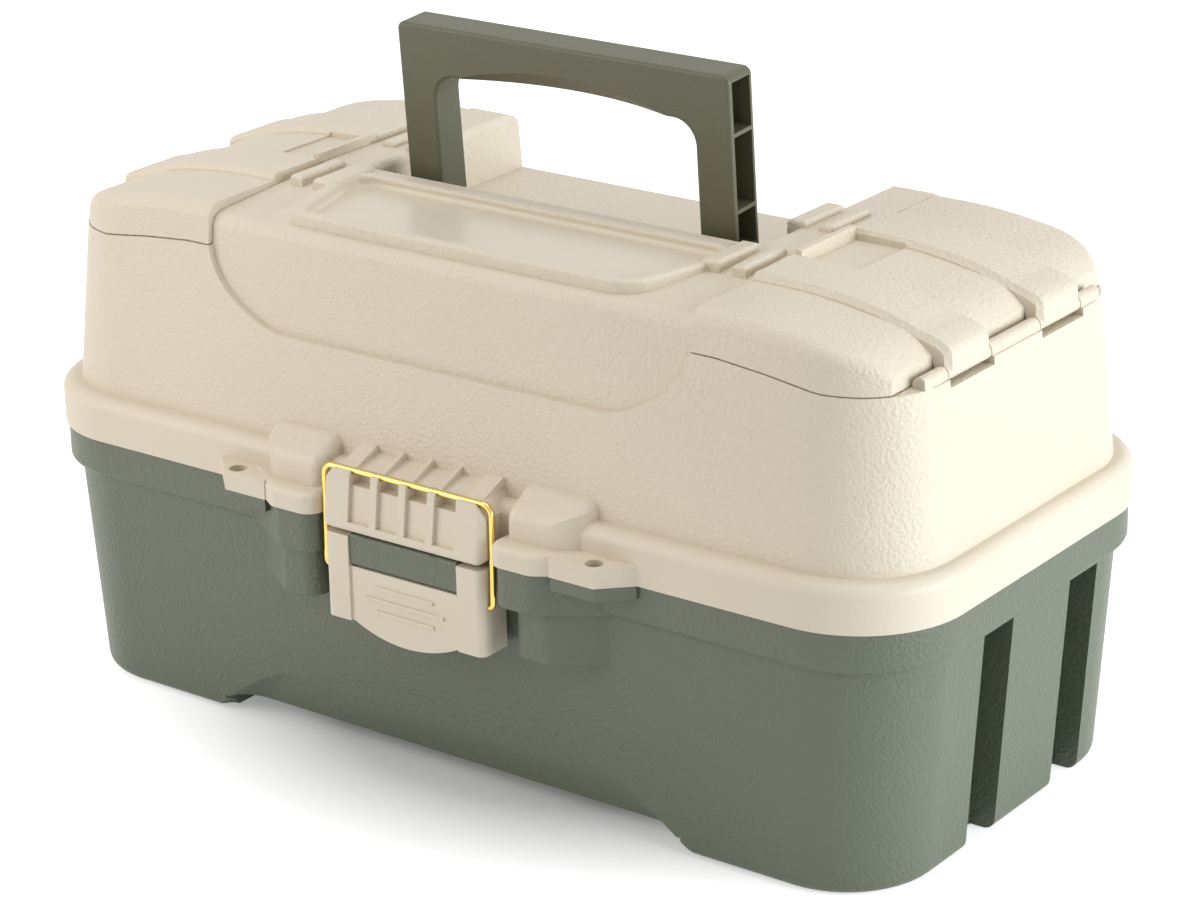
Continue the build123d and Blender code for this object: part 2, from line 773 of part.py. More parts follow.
def hump():
    """Domed boss on the right flange pad: a long curve from the pad up to the lid wall."""
    front_y = -half_depth - hump_reach
    back_y = -lid_head_depth / 2
    low = parting_height + wall
    top = parting_height + hump_height
    spring = parting_height + hump_spring
    x = hump_inner_x
    curve = Spline(
        (x, front_y, spring),
        (x, between(front_y, -half_depth, hump_knee_share), between(spring, top, hump_knee_share)),
        (x, -half_depth + hump_crest, top - hump_crest),
        (x, back_y, top + hump_crest),
        tangents=((0, 0, 1), (0, 1, 0)),
    )
    rest = Polyline(curve @ 1, (x, back_y, low), (x, front_y, low), curve @ 0)
    body = extrude(make_face([curve, rest]), hump_outer_x - hump_inner_x, dir=(1, 0, 0))
    crown = body.edges().filter_by(GeomType.BSPLINE)
    return fillet(crown, hump_side_round) & hump_plan(low, top + wall)


def handle_lugs():
    """Lugs on the well floor, outside the right leg of the handle."""
    start = handle_half + handle_lug_gap
    end = start + handle_lug
    half = handle_depth / 2 - seat_gap
    y = handle_pivot_y
    lug = rod_x(half, start, end, y, handle_pivot_z)
    lug += span((start, y - half, well_floor - wall / 2), (end, y + half, handle_pivot_z))
    return lug - rod_x(handle_pin_radius + fit_gap, start - overrun, end + overrun, y, handle_pivot_z)


def cover_knuckles():
    """Knuckles on the right end of the lid, between the tabs of the cover."""
    edges = (
        (-knuckle_outer_y, -band_outer_y - knuckle_gap),
        (-band_inner_y + knuckle_gap, band_inner_y - knuckle_gap),
        (band_outer_y + knuckle_gap, knuckle_outer_y),
    )
    knuckles = Part()
    for start, end in edges:
        knuckle = rod_y(barrel_radius, start, end, cover_hinge_x, cover_hinge_z)
        knuckle += span(
            (cover_hinge_x - barrel_radius, start, cover_skirt_low - 2 * wall),
            (cover_hinge_x + barrel_radius, end, cover_hinge_z),
        )
        knuckles += knuckle
    knuckles -= rod_y(cover_pin_radius + fit_gap, -half_depth, half_depth, cover_hinge_x, cover_hinge_z)
    return knuckles & lid_block(flange_top, lid_head_height, 0)


def tab_pockets():
    """Room round the right cover's two hinge tabs."""
    reach = barrel_radius + knuckle_gap
    pockets = Part()
    for side in (-1, 1):
        inner = side * (band_inner_y - knuckle_gap)
        outer = side * (band_outer_y + knuckle_gap)
        start = min(inner, outer)
        end = max(inner, outer)
        pockets += rod_y(reach, start, end, cover_hinge_x, cover_hinge_z)
        near = (cover_hinge_x - reach, start, cover_hinge_z - reach - 2 * knuckle_gap)
        pockets += span(near, (half_length, end, lid_head_height))
    return pockets


def guards():
    """Bars on the deck either side of the right cover's catch."""
    bars = Part()
    for side in (-1, 1):
        ends = sorted((side * guard_near_y, side * guard_far_y))
        top = deck_rear_height + guard_height
        second_x = well_half - guard_second / 2 + guard_pitch
        for inner_x, outer_x in ((guard_inner_x, guard_outer_x), (second_x, second_x + guard_second)):
            bar = span((inner_x, ends[0], deck_rear_height - 2 * wall), (outer_x, ends[1], top))
            bars += fillet(bar.faces().sort_by(Axis.Z)[-1].edges(), guard_round)
    return bars


def lid_bosses():
    """Pillars inside the right end of the lid that carry the links."""
    angle = math.radians(arm_angle)
    y = hinge_y - link_reach * math.cos(angle)
    z = hinge_z + link_reach * math.sin(angle)
    start = link_outer_x + arm_side_gap
    boss = rod_x(boss_radius, start, half_length, y, z)
    boss &= lid_block(parting_height, lid_head_height, wall / 2)
    return boss - rod_x(rivet_radius + fit_gap, start - overrun, start + rivet_seat, y, z)


def lid_flange():
    flange = flange_block(parting_height, flange_top, 0)
    flange = fillet(flange.edges().group_by(Axis.Z)[-1], flange_round)
    pad = pad_block(parting_height, parting_height + pad_height, 0, 0, 0)
    nose = pad.edges().group_by(Axis.Z)[-1].filter_by(lambda e: e.center().Y < -half_depth)
    return flange + both(fillet(nose, pad_edge_round))


def well_space():
    """Handle well, open behind, with its upper side edges rounded over."""
    y = deck_rear_y
    top = deck_rear_height
    low = top - well_edge_round
    mouth = well_half + well_edge_round
    along = mouth - well_edge_round * math.cos(math.pi / 4)
    up = low + well_edge_round * math.sin(math.pi / 4)
    right = ThreePointArc((well_half, y, low), (along, y, up), (mouth, y, top))
    above = lid_head_height + overrun
    roof = Polyline((mouth, y, top), (mouth, y, above), (-mouth, y, above), (-mouth, y, top))
    half = well_half
    floor = Polyline((-half, y, low), (-half, y, well_floor), (half, y, well_floor), (half, y, low))
    outline = make_face([floor, right, roof, mirror(right, about=Plane.YZ)])
    return extrude(outline, half_depth - y, dir=(0, 1, 0))


def lid_deck():
    """Middle of the lid, between the covers, with the handle well cut in its rear."""
    low = flange_top - flange_round
    deck = lid_block(low, lid_head_height, 0) & along_x(deck_outline(low), -deck_half, deck_half)
    deck -= front_panel()
    for end in (0, -1):
        top_edges = deck.edges().filter_by(lambda e: e.center().Z > panel_corner_height)
        long_edges = top_edges.filter_by(lambda e: e.bounding_box().size.X > deck_half)
        deck = fillet(long_edges.sort_by(Axis.Y)[end], lid_top_round)
    return deck - well_space()


def lid_ends():
    """The two ends of the lid, cut down to the line that the covers close on."""
    block = lid_block(flange_top - flange_round, lid_head_height, 0) - both(cover_space())
    return block - span((-deck_half, -half_depth, 0), (deck_half, half_depth, lid_head_height + overrun))


def dish_bowl():
    """Space inside the dish, with a rounded floor."""
    bowl = dish_column(dish_rim, dish_top - dish_depth, lid_head_height + overrun)
    floor = bowl.faces().sort_by(Axis.Z)[0]
    return fillet(floor.edges(), dish_floor_round)


def dish_ring():
    """Level rim round the dish, on a block that joins the deck."""
    slab = dish_column(0, well_floor, dish_top)
    slab = fillet(slab.faces().sort_by(Axis.Z)[-1].edges(), dish_round)
    ring = slab - dish_bowl()
    level = ring.faces().filter_by(lambda f: f.normal_at().Z > level_face_share)
    mouth = level.sort_by(lambda f: f.center().Z)[-1]
    return fillet(mouth.inner_wires()[0].edges(), dish_round)


def lid_cavity():
    """Everything hollow under the lid."""
    cavity = flange_block(parting_height - overrun, flange_top - flange_round, wall + rim_inset)
    cavity += lid_block(parting_height, lid_ceiling, wall)
    deck_low = deck_front_height - 2 * wall
    inner = deck_half - 2 * wall
    front = -lid_head_depth / 2 + 3 * wall
    cavity += span((-inner, front, parting_height), (inner, deck_rear_y - wall, deck_low))
    cavity += span((-inner, front, parting_height), (inner, lid_head_depth / 2 - wall, well_floor - wall))
    tower = span(
        (well_half + wall, deck_rear_y + wall, parting_height),
        (deck_half - wall, lid_head_depth / 2 - 3 * wall, deck_rear_height - wall - well_edge_round / 2),
    )
    return cavity + both(tower)


def lid_shell():
    shell = lid_deck() + lid_ends() + lid_flange()
    shell = shell - dish_bowl() + dish_ring() - lid_cavity()
    bins = span((bin_inner_x, -bin_half_depth, bin_floor), (bin_outer_x, bin_half_depth, lid_head_height))
    bins = fillet(bins.edges().filter_by(Axis.Z).group_by(Axis.X)[-1], bin_corner)
    shell -= both(bins + tab_pockets())
    outside = keeper() + both(hump() + tab_block(parting_height, parting_height + tab_thickness, 0))
    outside -= lid_block(parting_height, lid_ceiling, wall)
    outside -= flange_block(parting_height - overrun, flange_top - flange_round, wall + rim_inset)
    shell += outside
    shell -= both(tab_hole(parting_height, parting_height + tab_thickness))
    shell += both(cover_knuckles() + guards() + handle_lugs() + lid_bosses())
    arm_top = parting_height + hinge_arm_height
    arm_root = half_depth - wall
    return shell + both(hinge_arm(hinge_lid_knuckle, hinge_station_x, parting_height, arm_top, arm_root))


def crown_edges(body):
    """Long upper edges of a cover, at the front and the rear."""
    crown = body.edges().filter_by(lambda e: e.center().Z > cover_hinge_z + wall)
    crown = crown.filter_by(lambda e: abs(e.center().Y) > lid_head_depth / 2 - 5 * wall)
    return crown.filter_by(lambda e: e.bounding_box().size.X > wall)


def top_cover():
    """Right cover: a shallow shell with two raised bands that end in hinge tabs."""
    inset = cover_side_inset
    block = profile_block(cover_points(0), cover_skirt_low - overrun, -half_depth, half_depth, 0)
    line = [(half_length, cover_skirt_low)] + skirt_points(0)[::-1]
    under = line + [(cover_inner_x - overrun, cover_skirt_high), (cover_inner_x - overrun, flange_top)]
    under += [(half_length, flange_top)]
    body = block & lid_block(flange_top, lid_head_height + overrun, inset)
    body = fillet(crown_edges(body), cover_edge_round)
    body -= along_y(under, -half_depth, half_depth)
    low = cover_skirt_low - 2 * overrun
    hollow = profile_block(cover_points(-cover_shell), low, -half_depth, half_depth, cover_shell)
    hollow &= lid_block(flange_top, lid_head_height, inset + cover_shell)
    body -= fillet(crown_edges(hollow), cover_edge_round - cover_shell)
    for side in (-1, 1):
        body += raised_band(side)
    catch = span(
        (cover_inner_x, -catch_half, cover_top - cover_shell),
        (cover_inner_x + catch_thickness, catch_half, cover_top + catch_height),
    )
    finger = span(
        (cover_inner_x + catch_thickness, -catch_half, cover_top - finger_depth),
        (cover_inner_x + catch_thickness + finger_length, catch_half, cover_top + catch_height),
    )
    body = body - finger + catch
    pin_room = rod_y(cover_pin_radius + fit_gap, -half_depth, half_depth, cover_hinge_x, cover_hinge_z)
    return body - pin_room


def raised_band(side):
    """Raised band across a cover, with the tab that hangs on the hinge pin."""
    start = min(side * band_inner_y, side * band_outer_y)
    end = max(side * band_inner_y, side * band_outer_y)
    top = cover_points(band_rise)
    shoulder = top[-2]
    curve = Spline(*[(x, start, z) for x, z in top[:-1]])
    nose_z = cover_hinge_z + 2 * barrel_radius
    nose = Bezier(
        (shoulder[0], start, shoulder[1]),
        (band_nose_x - wall / 2, start, shoulder[1] - wall),
        (band_nose_x, start, shoulder[1] - 2 * wall),
        (band_nose_x, start, nose_z),
    )
    low = cover_points(-cover_shell / 2)
    back = [(band_nose_x, start, cover_hinge_z), (cover_hinge_x - barrel_radius, start, cover_hinge_z)]
    back += [(x, start, z) for x, z in low[::-1]]
    rest = Polyline(nose @ 1, *back, curve @ 0)
    band = extrude(make_face([curve, nose, rest]), end - start, dir=(0, 1, 0))
    band = chamfer(band.edges().filter_by(lambda e: e.geom_type != GeomType.LINE), band_chamfer)
    return band + rod_y(barrel_radius, start, end, cover_hinge_x, cover_hinge_z)


def handle():
    """Bail handle: a channel section, open at the ends and behind, with cross ribs."""
    low = handle_pivot_z - handle_depth / 2
    top = handle_pivot_z + handle_rise
    inner = handle_half - handle_leg
    outer = [(-handle_half, low), (handle_half, low), (handle_half, top), (-handle_half, top)]
    front_y = handle_pivot_y - handle_depth / 2
    rear_y = handle_pivot_y + handle_depth / 2
    body = along_y(outer, front_y, rear_y)
    opening = span((-inner, front_y - overrun, low - overrun), (inner, rear_y + overrun, top - handle_grip))
    opening = fillet(opening.edges().filter_by(Axis.Y).group_by(Axis.Z)[-1], handle_inner_corner)
    body -= opening
    corners = body.edges().filter_by(Axis.Y).group_by(Axis.Z)
    body = fillet(corners[-1], handle_corner)
    body = fillet(body.edges().filter_by(Axis.X).group_by(Axis.Z)[0], handle_depth / 2 - seat_gap)
    for face in (body.faces().sort_by(Axis.Y)[0], body.faces().sort_by(Axis.Y)[-1]):
        edges = face.edges().filter_by(lambda e: e.center().Z > handle_pivot_z)
        body = fillet(edges, handle_edge_round)
    body -= handle_scoop(front_y, top - handle_grip)
    return handle_pockets(body, front_y, rear_y, inner, top)


def handle_scoop(front_y, low):
    """Arched hollow under the front of the grip, for the fingers."""
    half = handle_scoop_half
    slant = math.atan2(handle_scoop_height, handle_scoop_depth)
    rise = handle_scoop_height * math.cos(slant)
    radius = (half**2 + rise**2) / (2 * rise)
    middle_z = low + handle_scoop_height - radius / math.cos(slant)
    axis = Plane(origin=(0, front_y, middle_z), z_dir=(0, math.cos(slant), -math.sin(slant)))
    barrel = axis * Cylinder(radius, 2 * (radius + handle_depth))
    rear_y = front_y + handle_depth
    return barrel & span((-half, front_y - overrun, low - overrun), (half, rear_y, low + handle_grip))


def handle_pockets(body, front_y, rear_y, inner, top):
    """Hollows in the outer sides of the legs, between cross ribs."""
    levels = [handle_pivot_z + handle_depth / 2]
    levels += [handle_pivot_z + level for level in handle_rib_levels]
    levels += [top - handle_skin]
    for floor, ceiling in zip(levels[:-1], levels[1:]):
        pocket = span(
            (inner + handle_skin, front_y + handle_skin, floor + handle_rib / 2),
            (handle_half + overrun, rear_y - handle_skin, ceiling - handle_rib / 2),
        )
        body -= both(pocket)
    body -= rod_x(handle_pin_radius + fit_gap, -half_length, half_length, handle_pivot_y, handle_pivot_z)
    lean = Axis((0, handle_pivot_y, handle_pivot_z), (1, 0, 0))
    return body.rotate(lean, handle_lean)


def lever():
    """Latch lever: a plate with two side rails, a window for the lug and a finger tab."""
    front = lever_front_y
    outline = [(-lever_half, lever_top), (lever_half, lever_top), (lever_half, lever_bottom)]
    outline += [(-lever_half, lever_bottom)]
    back = front + lever_plate
    plate = along_y(outline, front, back)
    tab_radius = (lever_tab_half**2 + lever_tab_drop**2) / (2 * lever_tab_drop)
    tab_low = lever_bottom - lever_tab_drop
    tab = Pos(0, (front + back) / 2, tab_low + tab_radius) * Rot(90, 0, 0) * Cylinder(tab_radius, lever_plate)
    plate += tab & span((-lever_half, front, tab_low), (lever_half, back, lever_top))
    room = lug_half + lug_gap
    plate -= span((-room, front - overrun, lever_window_low), (room, back + overrun, lever_top + overrun))
    plate -= span((-room, front - overrun, tab_low), (room, front + lever_rail_rise, lever_top + overrun))
    rail = span((room, front, lever_bottom), (lever_half, lever_rear_y, lever_top))
    rail += span((room, front, lever_bottom), (lever_half, lever_low_rear_y, rim_bottom - wall))
    hollow_low = (room - overrun, back, lever_bottom + wall)
    rail -= span(hollow_low, (lever_half - wall, half_depth, lever_window_low - wall))
    body = plate + both(rail)
    front_edges = body.edges().filter_by(Axis.Z).group_by(Axis.Y)[0]
    body = fillet(front_edges.filter_by(lambda e: abs(e.center().X) > room), lever_side_round)
    middle = (lever_window_low + lever_bottom) / 2
    for number in (-1, 0, 1):
        length = grip_ridge_length - 2 * abs(number) * grip_ridge_pitch
        ridge = Box(length, 2 * grip_ridge_height, grip_ridge_width)
        ridge = Pos(0, front + lever_rail_rise, middle + number * grip_ridge_pitch) * ridge
        body += fillet(ridge.edges().filter_by(Axis.X).group_by(Axis.Y)[0], grip_ridge_height / 2)
    pin_half = lever_half - wall
    body -= rod_x(latch_pin_radius + fit_gap, -pin_half, pin_half, latch_pivot_y, latch_pivot_z)
    hole_start = bail_half - bail_grip - seat_gap
    return body - both(rod_x(bail_radius + fit_gap, hole_start, half_length, bail_end_y, bail_end_z))


def bail():
    """Wire loop over the keeper, with its ends turned in to the lever."""
    bar_y = bail_end_y + bail_radius / 2
    end = bail_half - bail_grip
    route = FilletPolyline(
        (-end, bail_end_y, bail_end_z),
        (-bail_half, bail_end_y, bail_end_z),
        (-bail_half, bar_y, bail_bar_z),
        (bail_half, bar_y, bail_bar_z),
        (bail_half, bail_end_y, bail_end_z),
        (end, bail_end_y, bail_end_z),
        radius=[bail_clear, bail_bend, bail_bend, bail_clear],
    )
    section = Plane(origin=route @ 0, z_dir=route % 0) * Circle(bail_radius)
    return sweep(section, path=route)


def tray_base(number):
    return tray_low + tray_pitch * number


def arm_point(reach, shift):
    """Place of a pivot on an arm when the case is closed."""
    angle = math.radians(arm_angle)
    return (arm_pivot_y + shift - reach * math.cos(angle), arm_pivot_z + reach * math.sin(angle))


def tray_pivots(number):
    return [arm_point(arm_reaches[number], shift) for shift in (0, arm_spacing)]


def divider_places():
    step = (2 * tray_half - tray_wall) / tray_bays
    return [-tray_half + tray_wall / 2 + step * (number + 1) for number in range(tray_bays - 1)]


def tray(number):
    """Open tray with guides for its dividers and an ear at each pivot."""
    low = tray_base(number)
    rear_y = tray_front_y + tray_depth
    body = span((-tray_half, tray_front_y, low), (tray_half, rear_y, low + tray_height))
    body = fillet(body.edges().filter_by(Axis.Z), 2 * tray_wall)
    inside = span(
        (-tray_half + tray_wall, tray_front_y + tray_wall, low + tray_wall),
        (tray_half - tray_wall, rear_y - tray_wall, low + tray_height + overrun),
    )
    body -= fillet(inside.edges().filter_by(Axis.Z), tray_wall)
    slot = divider_thickness / 2 + divider_gap
    guide_low = low + tray_wall / 2
    guide_high = low + tray_height - divider_drop
    for x in divider_places():
        for face_y, inward in ((tray_front_y + tray_wall, 1), (rear_y - tray_wall, -1)):
            ends_y = sorted((face_y - inward * tray_wall / 2, face_y + inward * 2 * divider_guide))
            for side in (-1, 1):
                ends_x = sorted((x + side * slot, x + side * (slot + divider_guide)))
                body += span((ends_x[0], ends_y[0], guide_low), (ends_x[1], ends_y[1], guide_high))
    return body + both(tray_ears(number))


def tray_ears(number):
    ears = Part()
    root = tray_half - tray_wall / 2
    start = tray_half + arm_side_gap
    end = tray_half + tray_ear
    low = tray_base(number)
    middle_z = low + tray_height / 2
    for y, z in tray_pivots(number):
        ear = rod_x(tray_ear_radius, start, end, y, z)
        near = y - tray_ear_radius
        far = y + tray_ear_radius
        ear += span((start, near, min(z, middle_z)), (end, far, max(z, middle_z)))
        ear += span((root, near, low), (end, far, middle_z))
        ears += ear - rod_x(rivet_radius + fit_gap, start, end + overrun, y, z)
    return ears


def dividers(number):
    """Loose dividers standing in the guides of one tray."""
    low = tray_base(number) + tray_wall + divider_gap
    high = tray_base(number) + tray_height - divider_drop
    front = tray_front_y + tray_wall + divider_gap
    rear = tray_front_y + tray_depth - tray_wall - divider_gap
    half = divider_thickness / 2
    return [span((x - half, front, low), (x + half, rear, high)) for x in divider_places()]


def flat_bar(points, width, inner_x, outer_x, hole_radius):
    """Flat bar with rounded ends through a first and last point, with a hole at every point."""
    first = points[0]
    last = points[-1]
    length = math.dist(first, last)
    angle = math.degrees(math.atan2(last[1] - first[1], last[0] - first[0]))
    middle = ((first[0] + last[0]) / 2, (first[1] + last[1]) / 2)
    thickness = outer_x - inner_x
    bar = Box(thickness, length, width)
    body = Pos((inner_x + outer_x) / 2, *middle) * Rot(angle, 0, 0) * bar
    for y, z in (first, last):
        body += rod_x(width / 2, inner_x, outer_x, y, z)
    for y, z in points:
        body -= rod_x(hole_radius + fit_gap, inner_x - overrun, outer_x + overrun, y, z)
    return body


def arm(shift, linked):
    """Tray arm on the right: base pivot, three trays and, on the front arm, the link."""
    reaches = [0.0] + list(arm_reaches)
    if linked:
        reaches.insert(1, link_reach)
    points = [arm_point(reach, shift) for reach in reaches]
    return flat_bar(points, arm_width, arm_inner_x, arm_outer_x, rivet_radius)


def link_points():
    angle = math.radians(arm_angle)
    lid_end = (hinge_y - link_reach * math.cos(angle), hinge_z + link_reach * math.sin(angle))
    return [arm_point(link_reach, 0), lid_end]


def lid_link():
    """Bar on the right from the lid to the front arm."""
    return flat_bar(link_points(), link_width, link_inner_x, link_outer_x, rivet_radius)


def rivet(start, end, head_start, head_end, y, z):
    return rod_x(rivet_radius, start, end, y, z) + rod_x(rivet_head_radius, head_start, head_end, y, z)


def base_rivets():
    """Rivets that hold the arms to the right end of the base."""
    head_end = arm_inner_x - arm_side_gap / 2
    end = arm_outer_x + arm_side_gap + rivet_seat - seat_gap
    places = [(arm_pivot_y + shift, arm_pivot_z) for shift in (0, arm_spacing)]
    return [rivet(head_end - rivet_head / 2, end, head_end - rivet_head, head_end, y, z) for y, z in places]


def tray_rivets(number):
    """Rivets from the right ears of a tray out through the arms."""
    start = tray_half + arm_side_gap
    head = arm_outer_x + arm_side_gap / 2
    end = head + rivet_head
    return [rivet(start, head + rivet_head / 2, head, end, y, z) for y, z in tray_pivots(number)]


def arm_link_rivet():
    """Shouldered rivet that joins the link to the front arm on the right."""
    y, z = link_points()[0]
    head = link_outer_x + arm_side_gap / 2
    body = rivet(arm_inner_x, head + rivet_head / 2, head, head + rivet_head, y, z)
    collar_start = arm_outer_x + arm_side_gap / 4
    return body + rod_x(rivet_head_radius, collar_start, link_inner_x - arm_side_gap / 2, y, z)


def lid_link_rivet():
    """Rivet that holds the link to the boss in the right end of the lid."""
    y, z = link_points()[1]
    head_end = link_inner_x - arm_side_gap / 2
    end = link_outer_x + arm_side_gap + rivet_seat - seat_gap
    return rivet(head_end - rivet_head / 2, end, head_end - rivet_head, head_end, y, z)


def hinge_pins():
    half = hinge_lid_knuckle / 2 + hinge_gap + hinge_base_knuckle
    start = hinge_station_x - half
    return sides([rod_x(hinge_pin_radius, start, hinge_station_x + half, hinge_y, hinge_z)])


def handle_pins():
    start = handle_half - handle_leg + handle_skin
    end = handle_half + handle_lug_gap + handle_lug
    return rod_x(handle_pin_radius, start, end, handle_pivot_y, handle_pivot_z)


def mirrored(piece):
    return mirror(piece, about=Plane.YZ)


def sides(pieces):
    """Pieces of the right side together with their mirror images."""
    return pieces + [mirrored(piece) for piece in pieces]


def save(name, pieces):
    group = pieces if isinstance(pieces, list) else [pieces]
    solids = [solid for piece in group for solid in piece.solids()]
    export_step(Compound(children=solids) if len(solids) > 1 else solids[0], f"parts/{name}.step")


def main():
    os.makedirs("parts", exist_ok=True)
    save("base_tub", base_tub())
    save("lid_shell", lid_shell())
    save("lid_hinge_pins", hinge_pins())
    save("latch_lever", lever())
    pin_half = lever_half - wall - seat_gap
    save("latch_pivot_pin", rod_x(latch_pin_radius, -pin_half, pin_half, latch_pivot_y, latch_pivot_z))
    save("latch_bail", bail())
    save("carry_handle", handle())
    save("handle_pins", sides([handle_pins()]))
    cover = top_cover()
    cover_pin = rod_y(cover_pin_radius, -knuckle_outer_y, knuckle_outer_y, cover_hinge_x, cover_hinge_z)
    front_arm = arm(0, True)
    rear_arm = arm(arm_spacing, False)
    pairs = {
        "top_cover": cover,
        "cover_hinge_pin": cover_pin,
        "front_tray_arm": front_arm,
        "rear_tray_arm": rear_arm,
        "lid_link": lid_link(),
    }
    for name, piece in pairs.items():
        save(name + "_right", piece)
        save(name + "_left", mirrored(piece))
    for number, name in enumerate(("lower", "middle", "upper")):
        save(f"{name}_tray", tray(number))
        save(f"{name}_tray_dividers", dividers(number))
        save(f"{name}_tray_rivets", sides(tray_rivets(number)))
    save("arm_base_rivets", sides(base_rivets()))
    save("arm_link_rivets", sides([arm_link_rivet()]))
    save("lid_link_rivets", sides([lid_link_rivet()]))


main()
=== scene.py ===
import json
import math

import bpy
from mathutils import Matrix, Vector

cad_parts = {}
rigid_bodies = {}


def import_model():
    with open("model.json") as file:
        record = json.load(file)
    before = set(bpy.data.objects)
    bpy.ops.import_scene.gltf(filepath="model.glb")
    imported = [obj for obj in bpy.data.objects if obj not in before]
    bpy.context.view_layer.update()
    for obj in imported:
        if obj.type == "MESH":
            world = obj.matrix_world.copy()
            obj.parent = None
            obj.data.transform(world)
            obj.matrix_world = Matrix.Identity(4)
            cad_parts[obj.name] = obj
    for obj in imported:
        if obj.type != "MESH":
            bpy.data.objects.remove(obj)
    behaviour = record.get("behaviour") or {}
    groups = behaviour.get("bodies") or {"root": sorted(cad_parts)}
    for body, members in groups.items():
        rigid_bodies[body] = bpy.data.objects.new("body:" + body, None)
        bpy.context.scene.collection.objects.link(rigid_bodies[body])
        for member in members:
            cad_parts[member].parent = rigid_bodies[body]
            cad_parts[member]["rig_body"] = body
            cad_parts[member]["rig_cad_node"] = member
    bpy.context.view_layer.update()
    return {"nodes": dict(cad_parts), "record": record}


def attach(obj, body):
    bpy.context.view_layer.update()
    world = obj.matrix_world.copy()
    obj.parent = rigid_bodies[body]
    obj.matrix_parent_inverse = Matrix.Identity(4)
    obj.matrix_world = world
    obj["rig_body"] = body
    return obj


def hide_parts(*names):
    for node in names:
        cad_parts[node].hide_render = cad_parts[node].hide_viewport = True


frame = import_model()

nodes = frame["nodes"]
scene = bpy.context.scene
print("frame loaded:", len(nodes), "nodes")


# shared steps for the node materials
def newFinish(name):
    mat = bpy.data.materials.new(name)
    mat.use_nodes = True
    tree = mat.node_tree
    shader = tree.nodes["Principled BSDF"]
    place = tree.nodes.new("ShaderNodeTexCoord")
    return mat, tree, shader, place


def addNode(tree, kind, links=None, **values):
    node = tree.nodes.new(kind)
    for key, value in values.items():
        if hasattr(node, key):
            setattr(node, key, value)
        else:
            node.inputs[key.replace("_", " ")].default_value = value
    for key, source in (links or {}).items():
        tree.links.new(source, node.inputs[key])
    return node


def mathNode(tree, operation, first, second):
    return addNode(tree, "ShaderNodeMath", {0: first, 1: second}, operation=operation).outputs[0]


def tintRamp(tree, factor, dark, light, low=0.3, high=0.7):
    ramp = tree.nodes.new("ShaderNodeValToRGB")
    ramp.color_ramp.elements[0].position = low
    ramp.color_ramp.elements[0].color = (*dark, 1)
    ramp.color_ramp.elements[1].position = high
    ramp.color_ramp.elements[1].color = (*light, 1)
    tree.links.new(factor, ramp.inputs["Fac"])
    return ramp


def shade(colour, share):
    return tuple(min(1.0, c * share) for c in colour)


# one inside a box given as axis, middle and half width, zero outside it
def insideBox(tree, spot, box):
    split = addNode(tree, "ShaderNodeSeparateXYZ", {"Vector": spot})
    inside = None
    for axis, middle, half in box:
        near = addNode(tree, "ShaderNodeMath", {0: split.outputs[axis]}, operation="COMPARE")
        near.inputs[1].default_value = middle
        near.inputs[2].default_value = half
        if inside is None:
            inside = near.outputs[0]
        else:
            inside = mathNode(tree, "MULTIPLY", inside, near.outputs[0])
    return inside


# what all the moulded plastics share; lengths in metres
plastic = {"dark": 0.965, "light": 1.03, "cloudDetail": 3.0, "cellSmooth": 0.6, "fineShare": 0.8,
           "fineDetail": 4.0, "bumpReach": 0.0004, "roughSpread": 0.05, "smoothShare": 0.25,
           "polishedGrain": 0.06, "polishedDrop": 0.2}


